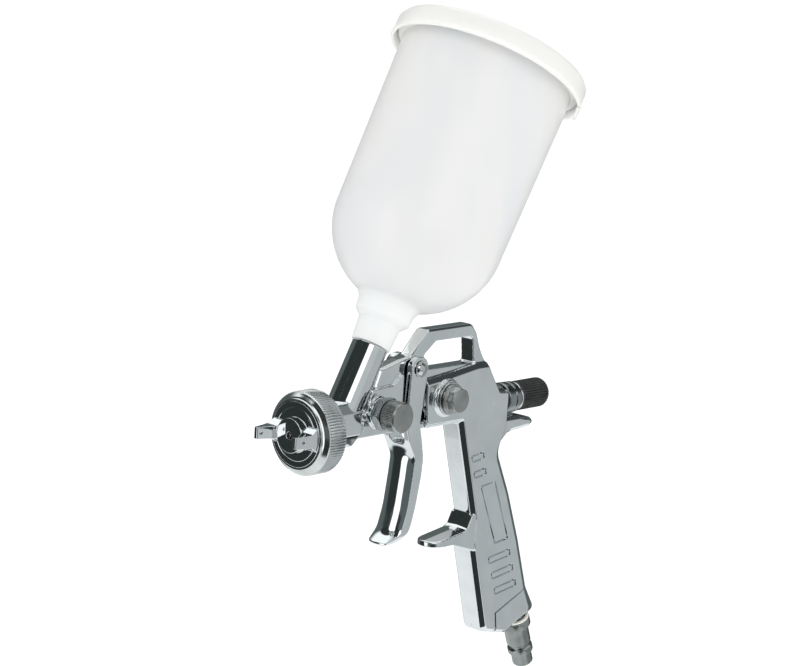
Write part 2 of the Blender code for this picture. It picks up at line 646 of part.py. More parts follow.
def build():
    for thing in list(bpy.data.objects):
        bpy.data.objects.remove(thing, do_unlink=True)
    finishes = make_finishes()
    make_body(finishes)
    make_front(finishes)
    make_needle(finishes)
    make_air_valve(finishes)
    make_rear(finishes)
    make_trigger(finishes)
    make_fan_control(finishes)
    make_plugs(finishes)
    make_inlet(finishes)
    make_cup(finishes)
    bpy.context.view_layer.update()


build()
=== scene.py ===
"""Looks for the gravity-feed HVLP spray gun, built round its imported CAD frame.

Sizes are in millimetres in the design frame: X runs along the barrel with the nozzle towards -X,
Z is up, -Y is the gun's left side, and x = 0 is the front edge of the air cap ring's knurl. The
frame's own boxes say where that is in the row frame, and place() turns a design point into metres.
"""

import json
import math

import bmesh
import bpy
from mathutils import Matrix, Vector

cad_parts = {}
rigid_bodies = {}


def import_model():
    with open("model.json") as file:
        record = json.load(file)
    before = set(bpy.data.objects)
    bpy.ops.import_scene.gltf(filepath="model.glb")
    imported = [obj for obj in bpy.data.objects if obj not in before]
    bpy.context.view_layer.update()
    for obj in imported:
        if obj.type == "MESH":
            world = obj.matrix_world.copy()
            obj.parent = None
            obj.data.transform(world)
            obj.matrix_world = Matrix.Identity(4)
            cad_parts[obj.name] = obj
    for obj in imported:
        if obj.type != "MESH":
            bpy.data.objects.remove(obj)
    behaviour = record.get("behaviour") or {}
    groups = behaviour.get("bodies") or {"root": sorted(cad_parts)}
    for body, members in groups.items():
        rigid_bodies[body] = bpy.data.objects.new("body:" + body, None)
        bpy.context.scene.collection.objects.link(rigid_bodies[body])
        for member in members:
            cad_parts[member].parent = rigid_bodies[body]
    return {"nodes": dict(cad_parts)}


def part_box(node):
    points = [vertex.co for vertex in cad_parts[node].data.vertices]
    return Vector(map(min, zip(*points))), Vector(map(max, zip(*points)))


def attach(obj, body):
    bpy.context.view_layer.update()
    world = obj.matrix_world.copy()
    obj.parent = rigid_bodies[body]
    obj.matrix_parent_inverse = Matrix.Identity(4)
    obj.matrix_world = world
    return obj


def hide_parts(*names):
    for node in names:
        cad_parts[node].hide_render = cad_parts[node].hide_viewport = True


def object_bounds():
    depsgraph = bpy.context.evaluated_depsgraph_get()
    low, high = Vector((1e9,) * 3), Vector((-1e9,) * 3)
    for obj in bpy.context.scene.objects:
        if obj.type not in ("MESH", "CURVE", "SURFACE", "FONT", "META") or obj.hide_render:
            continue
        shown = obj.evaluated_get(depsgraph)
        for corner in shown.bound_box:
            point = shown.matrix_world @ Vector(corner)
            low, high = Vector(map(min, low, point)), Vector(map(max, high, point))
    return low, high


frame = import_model()
cad_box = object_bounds()

MM = 0.001
RING_LOW, RING_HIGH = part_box("air_cap_ring")
RING_BEVEL = 3.0                # the ring's box starts this far in front of its knurl
ORIGIN = Vector((RING_LOW.x + RING_BEVEL * MM, 0, (RING_LOW.z + RING_HIGH.z) / 2))

HALF_BODY = 7.5                 # half the handle's thickness, and of its edge before the chamfer
HALF_FLAT = 5.1
HALF_WEB = 4.0                  # half the thickness of the hanging loop and the web under it
HALF_FRONT = 6.0
WEB_CHAMFER = 1.1
GROOVE_WIDTH = 1.0              # the grooves engraved in the handle's sides
GROOVE_DEPTH = 1.3
HANG_Z = 35.2                   # the underside of the loop's top bar
CUP_LEAN = math.radians(28.9)
CUP_RIM = (42.6, 0, 36.3)       # the middle of the socket's rim, where the cup's heights start
TAB_LOW = 139.2                 # the lid's thumb tab, up the cup's axis
TAB_HIGH = 143.8
TAB_INSIDE = 46.7
TAB_OUTSIDE = 48.2
TAB_HALF = 6.0
TAB_ANGLE = math.radians(52)
INLET_LEAN = math.radians(21.3)
INLET = (162.9, 0, -117.2)      # the middle of the handle's foot, where the air plug's heights start
PIVOT = (70.1, 0, 23.8)
FAN = (44.2, 0, 5.8)
PLUG = (90.6, 0, 7.5)
SPRAY = (0, 0, 0)

BODY_VOXEL = 0.36               # the grain that each casting's surface is worked out at
TRIGGER_VOXEL = 0.28
CAP_VOXEL = 0.14
GLAND_VOXEL = 0.22
PLUG_VOXEL = 0.2
PIVOT_VOXEL = 0.18

KNURL_BAND = 0.6                # how far inside its widest radius a profile still carries its knurl
BOW_RADIUS = 9.2                # the round across the trigger's bow
BOW_FORWARD = 2.6
SHARP = math.radians(40)        # edges steeper than this stay crisp on turned pieces
ENGRAVED = math.radians(50)

LIGHT_SIZE = 0.9                # metres, as are the floor's two values
FLOOR_DROP = 0.12
FLOOR_REACH = 40.0
VIEWPOINT = (-696.76, -686.48, 227.96)
VIEW_RIGHT = (0.67733072, -0.733303, 0.05907458)
VIEW_UP = (0.09315097, 0.1651392, 0.98186147)
VIEW_BACK = (-0.72975749, -0.65954208, 0.18016173)

ALONG_X = (1, 0, 0)
ALONG_Y = (0, 1, 0)
CUP_AXIS = (math.sin(CUP_LEAN), 0, math.cos(CUP_LEAN))
INLET_AXIS = (math.sin(INLET_LEAN), 0, -math.cos(INLET_LEAN))


def place(point):
    """A design point in millimetres, in the row frame in metres."""
    return ORIGIN + Vector(point) * MM


def turn_to(direction):
    return Vector(direction).to_track_quat("Z", "Y").to_matrix().to_4x4()


# ---------------------------------------------------------------- materials

def new_material(name):
    material = bpy.data.materials.new(name)
    material.use_nodes = True
    return material, material.node_tree, material.node_tree.nodes["Principled BSDF"]


def noise(tree, scale, detail=3.0, stretch=(1, 1, 1), turn=(0, 0, 0)):
    """Noise in the piece's own space, optionally stretched along an axis."""
    coords = tree.nodes.new("ShaderNodeTexCoord")
    mapping = tree.nodes.new("ShaderNodeMapping")
    mapping.inputs["Scale"].default_value = stretch
    mapping.inputs["Rotation"].default_value = turn
    texture = tree.nodes.new("ShaderNodeTexNoise")
    texture.inputs["Scale"].default_value = scale
    texture.inputs["Detail"].default_value = detail
    tree.links.new(coords.outputs["Object"], mapping.inputs["Vector"])
    tree.links.new(mapping.outputs["Vector"], texture.inputs["Vector"])
    return texture.outputs["Fac"]


def ramp(tree, value, stops):
    """A colour ramp over a value, from (position, colour) stops."""
    node = tree.nodes.new("ShaderNodeValToRGB")
    elements = node.color_ramp.elements
    while len(elements) < len(stops):
        elements.new(0.5)
    for element, (position, colour) in zip(elements, stops):
        element.position = position
        element.color = (*colour, 1)
    tree.links.new(value, node.inputs["Fac"])
    return node.outputs["Color"]


def spread(tree, value, low, high):
    """Spread the middle of a noise value over a range."""
    node = tree.nodes.new("ShaderNodeMapRange")
    node.inputs["From Min"].default_value = 0.3
    node.inputs["From Max"].default_value = 0.7
    node.inputs["To Min"].default_value = low
    node.inputs["To Max"].default_value = high
    tree.links.new(value, node.inputs["Value"])
    return node.outputs["Result"]


def bump(tree, shader, value, strength, distance):
    node = tree.nodes.new("ShaderNodeBump")
    node.inputs["Strength"].default_value = strength
    node.inputs["Distance"].default_value = distance
    tree.links.new(value, node.inputs["Height"])
    tree.links.new(node.outputs["Normal"], shader.inputs["Normal"])


def metal(name, dark, light, rough_low, rough_high, peel, peel_scale=260, stretch=(1, 1, 1)):
    """A metal whose tone and gloss drift over the surface, with a faint texture in its polish."""
    material, tree, shader = new_material(name)
    shader.inputs["Metallic"].default_value = 1.0
    drift = noise(tree, 90, 4)
    tree.links.new(ramp(tree, drift, [(0.3, dark), (0.7, light)]), shader.inputs["Base Color"])
    gloss = spread(tree, noise(tree, 420, 3, stretch), rough_low, rough_high)
    tree.links.new(gloss, shader.inputs["Roughness"])
    bump(tree, shader, noise(tree, peel_scale, 2, stretch), peel, 0.0002)
    return material


def plastic(name, stops, roughness, peel, scatter=0.0, streak=(1, 1, 1), turn=(0, 0, 0), scale=18):
    """A moulded plastic whose colour drifts in soft streaks, with light scattering inside it. The streaks are
    the plastic's own tone, and on the cup they are partly painted reflection too.
    """
    material, tree, shader = new_material(name)
    tree.links.new(ramp(tree, noise(tree, scale, 2, streak, turn), stops), shader.inputs["Base Color"])
    tree.links.new(spread(tree, noise(tree, 300, 3), roughness - 0.05, roughness + 0.05),
                   shader.inputs["Roughness"])
    shader.inputs["Subsurface Weight"].default_value = scatter
    shader.inputs["Subsurface Scale"].default_value = 0.006
    shader.inputs["Subsurface Radius"].default_value = (1.0, 1.0, 0.95)
    bump(tree, shader, noise(tree, 500, 2), peel, 0.0002)
    return material


CHROME = metal("chrome_plate", (0.76, 0.79, 0.80), (0.84, 0.865, 0.87), 0.035, 0.075, 0.03)
SATIN = metal("satin_nickel", (0.34, 0.35, 0.34), (0.52, 0.53, 0.52), 0.24, 0.36, 0.18, 1400)
NICKEL = metal("bright_nickel", (0.60, 0.62, 0.61), (0.76, 0.78, 0.78), 0.10, 0.18, 0.06, 900)
PLUG_NICKEL = metal("dull_nickel", (0.24, 0.26, 0.25), (0.40, 0.42, 0.41), 0.18, 0.30, 0.15, 900)
DARK_CHROME = metal("dark_nickel", (0.26, 0.28, 0.28), (0.38, 0.40, 0.40), 0.08, 0.16, 0.05, 900)
STEEL = metal("turned_steel", (0.50, 0.50, 0.50), (0.68, 0.68, 0.68), 0.20, 0.32, 0.10, 900)
BRASS = metal("turned_brass", (0.70, 0.50, 0.22), (0.84, 0.66, 0.34), 0.20, 0.32, 0.10, 900)
BLACK = plastic("black_plastic", [(0.3, (0.018, 0.020, 0.020)), (0.7, (0.045, 0.048, 0.047))], 0.48, 0.25,
                scale=300)
SEAL = plastic("seal_plastic", [(0.3, (0.78, 0.77, 0.72)), (0.7, (0.88, 0.87, 0.83))], 0.45, 0.1, scale=200)
MESH = plastic("strainer_plastic", [(0.3, (0.66, 0.70, 0.73)), (0.7, (0.80, 0.82, 0.84))], 0.5, 0.1,
               scale=400)
# The cup's soft streaks of cool and warm white along its axis are partly the polyethylene's own tone and
# partly painted reflection: they stand in for the bands of studio light that the cup reflects.
CUP = plastic("cup_polyethylene_painted_sheen",
              [(0.25, (0.83, 0.86, 0.89)), (0.5, (0.89, 0.90, 0.89)), (0.75, (0.91, 0.91, 0.87))],
              0.34, 0.05, 0.5, (3.2, 3.2, 0.45), (0, -CUP_LEAN, 0), 9)
LID = plastic("lid_polyethylene", [(0.3, (0.90, 0.895, 0.86)), (0.7, (0.94, 0.935, 0.91))], 0.38, 0.05, 0.4,
              scale=12)


# ------------------------------------------------------------ shape helpers

def rounded(corners, sides=6):
    """An outline from corners (a, b, radius), each radius turned into an arc."""
    outline = []
    for i, (a, b, radius) in enumerate(corners):
        here = Vector((a, b))
        if radius == 0:
            outline.append(here)
            continue
        back = Vector(corners[i - 1][:2]) - here
        ahead = Vector(corners[(i + 1) % len(corners)][:2]) - here
        half = back.angle(ahead) / 2
        reach = radius / math.tan(half)
        middle = here + (back.normalized() + ahead.normalized()).normalized() * radius / math.sin(half)
        start = here + back.normalized() * reach - middle
        end = here + ahead.normalized() * reach - middle
        sweep = start.angle_signed(end)
        for k in range(sides + 1):
            outline.append(middle + Matrix.Rotation(-sweep * k / sides, 2) @ start)
    return outline


def inset(corners, distance):
    """Move the corners of an outline inwards, keeping its arcs concentric."""
    area = sum(corners[i - 1][0] * b - a * corners[i - 1][1] for i, (a, b, _) in enumerate(corners))
    turn = 1 if area > 0 else -1
    moved_in = []
    for i, (a, b, radius) in enumerate(corners):
        here = Vector((a, b))
        arriving = (here - Vector(corners[i - 1][:2])).normalized()
        leaving = (Vector(corners[(i + 1) % len(corners)][:2]) - here).normalized()
        bend = turn * arriving.cross(leaving)
        inward = turn * (Vector((-arriving.y, arriving.x)) + Vector((-leaving.y, leaving.x)))
        here += inward * distance / (1 + arriving.dot(leaving))
        grown = radius - distance if bend > 0 else radius + distance
        moved_in.append((here.x, here.y, max(grown, 0.1) if radius else 0))
    return moved_in


def finish_mesh(bm, name):
    bmesh.ops.remove_doubles(bm, verts=bm.verts, dist=1e-4)
    bmesh.ops.recalc_face_normals(bm, faces=bm.faces)
    mesh = bpy.data.meshes.new(name)
    bm.to_mesh(mesh)
    bm.free()
    return mesh


def shape(name, bm):
    """A construction shape in millimetres, which isn't shown."""
    thing = bpy.data.objects.new(name, finish_mesh(bm, name))
    bpy.context.scene.collection.objects.link(thing)
    thing.hide_render = True
    thing.display_type = "WIRE"
    return thing


def lathe_bmesh(profile, sides, ridges=None):
    """Turn a closed profile of (height, radius) points about Z.

    ridges is (count, low, high, depth): a straight knurl that stands on the outside between two heights.
    """
    bm = bmesh.new()
    widest = max(radius for _, radius in profile)
    rings = []
    for height, radius in profile:
        if radius < 1e-6:
            rings.append([bm.verts.new((0, 0, height))] * sides)
            continue
        ring = []
        for k in range(sides):
            angle = math.tau * k / sides
            grown = radius
            if ridges and ridges[1] <= height <= ridges[2] and radius > widest - KNURL_BAND:
                grown += ridges[3] * (0.5 * math.cos(ridges[0] * angle) - 0.5)
            ring.append(bm.verts.new((grown * math.cos(angle), grown * math.sin(angle), height)))
        rings.append(ring)
    for near, far in zip(rings, rings[1:] + rings[:1]):
        for k in range(sides):
            corners = []
            for vert in (near[k - 1], near[k], far[k], far[k - 1]):
                if vert not in corners:
                    corners.append(vert)
            if len(corners) > 2:
                bm.faces.new(corners)
    return bm


def moved(bm, origin, axis):
    bmesh.ops.transform(bm, matrix=Matrix.Translation(origin) @ turn_to(axis), verts=bm.verts)
    return bm


def turned(name, profile, origin=SPRAY, axis=ALONG_X, sides=64):
    """A turned construction shape."""
    return shape(name, moved(lathe_bmesh(profile, sides), origin, axis))


def rod(name, low, high, radius, origin=SPRAY, axis=ALONG_X, sides=64):
    return turned(name, [(low, 0), (low, radius), (high, radius), (high, 0)], origin, axis, sides)


def plate(name, outline, low, high, plane="XZ"):
    """Extrude an outline across Y (plane XZ), X (plane YZ) or Z (plane XY)."""
    order = {"XZ": (0, 2, 1), "YZ": (2, 0, 1), "XY": (0, 1, 2)}[plane]
    bm = bmesh.new()
    loops = []
    for level in (low, high):
        points = [(a, b, level) for a, b in outline]
        loops.append([bm.verts.new([point[i] for i in order]) for point in points])
    for k in range(len(outline)):
        bm.faces.new((loops[0][k - 1], loops[0][k], loops[1][k], loops[1][k - 1]))
    bm.faces.new(loops[0])
    bm.faces.new(loops[1])
    return shape(name, bm)


def lofted(name, loops):
    """Join loops of points, each with the same number of points, into one closed shape."""
    bm = bmesh.new()
    rings = [[bm.verts.new(point) for point in loop] for loop in loops]
    for near, far in zip(rings, rings[1:]):
        for k in range(len(near)):
            bm.faces.new((near[k - 1], near[k], far[k], far[k - 1]))
    bm.faces.new(rings[0])
    bm.faces.new(rings[-1])
    return shape(name, bm)


def stepped(name, levels):
    """Join XZ outlines, each at its own y."""
    return lofted(name, [[(a, y, b) for a, b in outline] for y, outline in levels])


def combine(thing, others, operation):
    """One Boolean modifier that takes a group of construction shapes at once."""
    group = bpy.data.collections.new(f"{thing.name}_{operation.lower()}")
    for other in others:
        group.objects.link(other)
    modifier = thing.modifiers.new(operation.lower(), "BOOLEAN")
    modifier.operation = operation
    modifier.solver = "EXACT"
    modifier.operand_type = "COLLECTION"
    modifier.collection = group


def show(name, mesh, material, body, node):
    """A visible piece from a mesh in design millimetres, which stands for one CAD node."""
    mesh.transform(Matrix.Translation(ORIGIN) @ Matrix.Scale(MM, 4))
    mesh.materials.clear()
    mesh.materials.append(material)
    piece = bpy.data.objects.new(name, mesh)
    bpy.context.scene.collection.objects.link(piece)
    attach(piece, body)
    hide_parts(node)
    return piece


def clear_construction():
    for thing in [o for o in bpy.data.objects if o.display_type == "WIRE" and o.hide_render]:
        bpy.data.objects.remove(thing)


def cast(name, thing, voxel, passes, material, body, node, reshape=None, engraving=()):
    """Turn combined construction shapes into a cast surface with softly rounded edges and fillets.

    The engraving is cut after that, so its edges stay crisp.
    """
    remesh = thing.modifiers.new("remesh", "REMESH")
    remesh.mode = "VOXEL"
    remesh.voxel_size = voxel
    smooth = thing.modifiers.new("smooth", "SMOOTH")
    smooth.factor = 0.5
    smooth.iterations = passes
    if engraving:
        combine(thing, engraving, "DIFFERENCE")
    evaluated = thing.evaluated_get(bpy.context.evaluated_depsgraph_get())
    mesh = bpy.data.meshes.new_from_object(evaluated)
    mesh.name = name
    if reshape:
        for vert in mesh.vertices:
            vert.co = reshape(vert.co)
    mesh.shade_smooth()
    if engraving:
        mesh.set_sharp_from_angle(angle=ENGRAVED)
    clear_construction()
    return show(name, mesh, material, body, node)


def turned_piece(name, profile, material, body, node, origin=SPRAY, axis=ALONG_X, sides=96,
                 ridges=None):
    """A visible turned piece from corners (height, radius, corner radius)."""
    bm = moved(lathe_bmesh(rounded(profile, 4), sides, ridges), origin, axis)
    mesh = finish_mesh(bm, name)
    mesh.shade_smooth()
    mesh.set_sharp_from_angle(angle=SHARP)
    return show(name, mesh, material, body, node)


# -------------------------------------------------------------- the casting

def handle_shape():
    outer = rounded([
        (101.5, -2, 0), (105.3, -15.7, 0), (117.3, -57.5, 3), (116.9, -70, 3), (130.4, -118.2, 4),
        (149.4, -122.6, 5), (172.6, -113.4, 2.5), (164.6, -100.7, 4), (155.6, -74, 40), (145.3, -48, 40),
        (134.6, -26, 9), (138.3, -15, 2), (138.6, 4.6, 1), (131, 5.4, 0),
    ])
    inner = rounded([
        (104, -2, 0), (107.8, -15.7, 0), (119.8, -57.5, 3), (119.4, -70, 3), (132.6, -116.6, 3),
        (147.6, -120.3, 4), (166, -112.9, 2), (160.2, -100.7, 4), (151.2, -74, 40), (141, -48, 40),
        (130.2, -26, 9), (137.4, -13.4, 2), (137.6, 4.2, 1), (131, 5.0, 0),
    ])
    return stepped("handle", [(-HALF_BODY, inner), (-HALF_FLAT, outer),
                              (HALF_FLAT, outer), (HALF_BODY, inner)])


def web_shape():
    edge = [
        (38, 4, 0), (46.8, 25.2, 0), (61, 28.6, 3), (67.4, 29.6, 2), (78.2, 41.1, 2.5), (110.8, 41.3, 4.5),
        (115, 36, 2), (117.4, 29.6, 0), (123.4, 18.6, 0), (131, 5.2, 0), (126, -4, 0), (50, -4, 0),
    ]
    rim = rounded(edge)
    slim = rounded(inset(edge, WEB_CHAMFER))
    flat = HALF_WEB - WEB_CHAMFER
    web = stepped("web", [(-HALF_WEB, slim), (-flat, rim), (flat, rim), (HALF_WEB, slim)])
    loop = plate("loop_hole", rounded([
        (79.6, 21.8, 1.5), (76.2, 29, 1.5), (84.6, HANG_Z, 1.5), (111.3, HANG_Z, 2.5), (113, 21.8, 1.2),
    ]), -20, 20)
    combine(web, [loop], "DIFFERENCE")
    return web


def upright_shape():
    bm = bmesh.new()
    for x, z, half in ((113.2, 8, HALF_BODY), (128.6, 8, HALF_BODY),
                       (118.6, 25.5, HALF_WEB), (113.2, 25.5, HALF_WEB)):
        bm.verts.new((x, -half, z))
        bm.verts.new((x, half, z))
    bmesh.ops.convex_hull(bm, input=bm.verts)
    return shape("upright", bm)


def block_shapes():
    front = plate("front_block", rounded([
        (32, -5.4, 0), (61.6, -5.4, 0), (61.6, 23, 1), (55.2, 17.3, 2), (40, 16.4, 0),
    ]), -HALF_FRONT, HALF_FRONT)
    bevel = HALF_BODY - HALF_FLAT
    block = rounded([
        (76, -6.8, 0), (76, 17.2, 1.5), (97, 19.3, 0), (113.5, 21.5, 0), (121.6, 21.5, 0), (131, 5.2, 0),
        (137.6, 4.6, 0), (137.6, -12, 0), (108, -12, 0), (104, -6.8, 2),
    ])
    slimmer = [Vector((a, b + bevel if b < 0 else b - bevel if b > 15 else b)) for a, b in block]
    rear = stepped("rear_block", [(-HALF_BODY, slimmer), (-HALF_FLAT, block), (HALF_FLAT, block),
                                  (HALF_BODY, slimmer)])
    collar = turned("collar", [(5.3, 0), (5.3, 16.7), (10, 16.7), (10, 8), (10, 0)])
    barrel = rod("barrel", 12, 95, 6.5)
    boss = rod("rear_boss", 126, 137, 7.9)
    fan_boss = rod("fan_boss", -8.5, 0, 7.3, FAN, ALONG_Y)
    plug_boss = turned("plug_boss", rounded([
        (-9.3, 0, 0), (-9.3, 9, 1.1), (9.3, 9, 1.1), (9.3, 0, 0)], 4), PLUG, ALONG_Y)
    return [front, rear, collar, head_shape(), barrel, boss, fan_boss, plug_boss]


def head_shape():
    half = [(3.6, -9.3), (9.2, -2.2), (9.2, 7.4), (6.6, 12.6)]
    outline = half + [(-y, z) for y, z in half[::-1]]
    return lofted("head", [[(x, y * size, z * size) for y, z in outline]
                           for x, size in ((9, 1.0), (30, 1.0), (35.4, 0.62))])


def socket_shape():
    return turned("socket", [(-38, 0), (-38, 8.6), (0, 8.6), (0, 0)], CUP_RIM, CUP_AXIS, 96)


def finger_rest_shape():
    plan = [Vector((121, -7)), Vector((121, 7))]
    plan += [Vector((95 + 7 * math.cos(angle), 7 * math.sin(angle)))
             for angle in (math.pi / 2 + math.pi * k / 24 for k in range(25))]
    tongue = plate("finger_rest", plan, -80, -50, "XY")
    side = plate("finger_rest_side", rounded([
        (84, -65.4, 0), (84, -67.8, 0), (103, -68.2, 8), (116, -72.5, 0), (122, -74, 0), (122, -54, 0),
        (116.3, -55.5, 0), (113.2, -61.6, 3),
    ]), -9, 9)
    combine(tongue, [side], "INTERSECT")
    return tongue


def tang_shape():
    """The beak over the web of the hand, thinner towards its sides."""
    full = [(128, -8.6, 0), (151.5, -8.8, 8), (161.5, -11.6, 3), (164.3, -14.4, 1), (159, -16.4, 2),
            (144, -17.4, 8), (136, -24, 0), (128, -20, 0)]
    thin = [(128, -11.2, 0), (151.5, -11.4, 8), (159.5, -12.9, 2), (161.6, -13.7, 0.6), (158, -14.3, 1),
            (144, -15.2, 8), (136, -21, 0), (128, -18, 0)]
    return stepped("tang", [(y, rounded(corners)) for y, corners in
                            ((-4.6, thin), (-2.6, full), (2.6, full), (4.6, thin))])


def slot_outline(x, z, length, half, inset):
    """A leaning slot on the handle's side, or the pad inside its groove."""
    reach = length / 2 - inset
    tall = half - inset
    lean = 0.33 * tall
    rise = 0.12 * reach
    radius = 1.2 - inset
    return rounded([
        (x - reach - lean, z + tall - rise, radius), (x + reach - lean, z + tall + rise, radius),
        (x + reach + lean, z - tall + rise, radius), (x - reach + lean, z - tall - rise, radius),
    ], 4)


def panel_outline(inset):
    """The long panel between the slots, or the pad inside its groove."""
    return rounded([
        (120.4 + inset, -40.6 - inset, 0.7), (131.6 - inset, -39.4 - inset, 0.7),
        (145 - 1.4 * inset, -71.6 + inset, 0.7), (134.2 + 0.6 * inset, -72.8 + inset, 0.7),
    ], 4)


def strip(name, start, end, width, low, high):
    """A narrow cutter along a line on the handle's side."""
    along = (Vector(end) - Vector(start)).normalized() * width / 2
    across = Vector((-along.y, along.x))
    first, last = Vector(start) - along, Vector(end) + along
    return plate(name, [first - across, last - across, last + across, first + across], low, high)


def handle_marks():
    """Cutters for the fine grooves on both sides of the handle, and for the parting line on its front."""
    cutters = []
    slots = [(117.0, -25.6, 9.6, 2.0), (119.4, -34.0, 9.6, 2.0),
             (138.8, -79.8, 17, 2.1), (141.9, -88.3, 17, 2.1), (145.0, -96.8, 17, 2.1)]
    for side in (-1, 1):
        low, high = sorted((side * (HALF_BODY - GROOVE_DEPTH), side * 12))
        outlines = [(slot_outline(*slot, 0), slot_outline(*slot, GROOVE_WIDTH)) for slot in slots]
        outlines.append((panel_outline(0), panel_outline(GROOVE_WIDTH)))
        for outer, inner in outlines:
            groove = plate("groove", outer, low, high)
            combine(groove, [plate("groove_middle", inner, low - 1, high + 1)], "DIFFERENCE")
            cutters.append(groove)
        cutters.append(strip("panel_edge", (161.6, -100.4), (138.8, -109.4), GROOVE_WIDTH, low, high))
        cutters.append(strip("panel_edge", (138.8, -109.4), (140.4, -121), GROOVE_WIDTH, low, high))
    cutters.append(strip("parting_line", (104.4, -15.7), (116.9, -58), 0.5, -0.2, 0.2))
    cutters.append(strip("parting_line", (116.5, -75), (129.6, -116), 0.5, -0.2, 0.2))
    return cutters


def relief_shape(side):
    outline = [(61.8, -16), (61.8, 36), (76.8, 36), (76.8, 7), (77.8, -3), (80.5, -10), (80.5, -16)]
    low, high = sorted((side * (HALF_WEB + 0.3), side * 14))
    return plate("relief", [Vector(point) for point in outline], low, high)


def bore_shapes():
    main = turned("main_bore", [
        (0, 0), (0, 6), (17, 6), (17, 4.5), (38, 4.5), (38, 3.2), (58, 3.2), (58, 5.2), (145, 5.2), (145, 0)])
    socket = turned("socket_bore", [
        (-40, 0), (-40, 3.4), (-16, 3.4), (-16, 6.6), (5, 6.6), (5, 0)], CUP_RIM, CUP_AXIS)
    inlet = turned("inlet_bore", [
        (-124, 0), (-124, 3.6), (-12, 3.6), (-12, 6), (8, 6), (8, 0)], INLET, INLET_AXIS)
    fan = turned("fan_bore", [
        (-12, 0), (-12, 4.9), (-4.5, 4.9), (-4.5, 2.2), (4.2, 2.2), (4.2, 0)], FAN, ALONG_Y)
    cross = rod("cross_bore", -14, 14, 4.0, PLUG, ALONG_Y)
    pivot = rod("pivot_bore", -12, 12, 2.7, PIVOT, ALONG_Y)
    return [main, socket, inlet, fan, cross, pivot]


def make_casting():
    casting = handle_shape()
    combine(casting, [web_shape(), upright_shape(), *block_shapes(), socket_shape(), finger_rest_shape(),
                      tang_shape()], "UNION")
    combine(casting, [relief_shape(-1), relief_shape(1), *bore_shapes()], "DIFFERENCE")
    cast("body_casting", casting, BODY_VOXEL, 8, CHROME, "gun", "gun_body", crown, handle_marks())


def crown(point):
    """Slope the finger rest's top down towards both its sides, and leave the rest of the casting alone."""
    if point.z > -50:
        return point
    in_front = min(max((114 - point.x) / 4, 0), 1)
    on_top = min(max((point.z + 67.5) / 2, 0), 1)
    return Vector((point.x, point.y, point.z - 0.12 * abs(point.y) * in_front * on_top))


# -------------------------------------------------------------- the trigger

def bow_curve(point):
    """Round the trigger's bow across its width, below the fork, with its middle standing forward."""
    down = min(max((-13 - point.z) / 9, 0), 1)
    blend = down * down * (3 - 2 * down)
    side = min(abs(point.y), 8.2)
    bend = BOW_RADIUS - math.sqrt(BOW_RADIUS ** 2 - side ** 2)
    return Vector((point.x + blend * (0.7 * bend - BOW_FORWARD), point.y, point.z))


def make_trigger():
    trigger = plate("trigger_side", rounded([
        (64, 29.6, 5.6), (76, 29.6, 5.6), (74.8, 17.5, 0), (73.2, 6, 20), (71.9, -3, 15), (74.6, -13.5, 12),
        (75, -20, 0), (74.4, -28, 0), (71.6, -43, 60), (68.6, -54, 20), (63.6, -60.8, 2.5), (56.9, -61.4, 1),
        (56.7, -60, 0.6), (62.4, -56, 8), (66, -45, 40), (68.4, -29, 0), (69.4, -20, 8), (64.9, -11, 6),
        (63.1, -4, 10), (63.2, 9, 0),
    ]), -8.2, 8.2)
    front = plate("trigger_front", rounded([
        (-8.7, 40, 0), (8.7, 40, 0), (8.2, -62, 7.4), (-8.2, -62, 7.4)], 12), 40, 90, "YZ")
    combine(trigger, [front], "INTERSECT")
    gap = plate("fork_gap", rounded([
        (-4.9, -13, 3), (4.9, -13, 3), (4.9, 40, 0), (-4.9, 40, 0)]), 50, 90, "YZ")
    combine(trigger, [gap], "DIFFERENCE")
    lugs = [rod("lug", *sorted((side * 2.5, side * 6)), 1.8, (68, 0, 0), ALONG_Y) for side in (-1, 1)]
    combine(trigger, lugs, "UNION")
    bore = rod("trigger_bore", -12, 12, 2.7, PIVOT, ALONG_Y)
    combine(trigger, [bore], "DIFFERENCE")
    cast("trigger_casting", trigger, TRIGGER_VOXEL, 10, CHROME, "trigger", "trigger", bow_curve)


# ------------------------------------------------------------ ring and cap

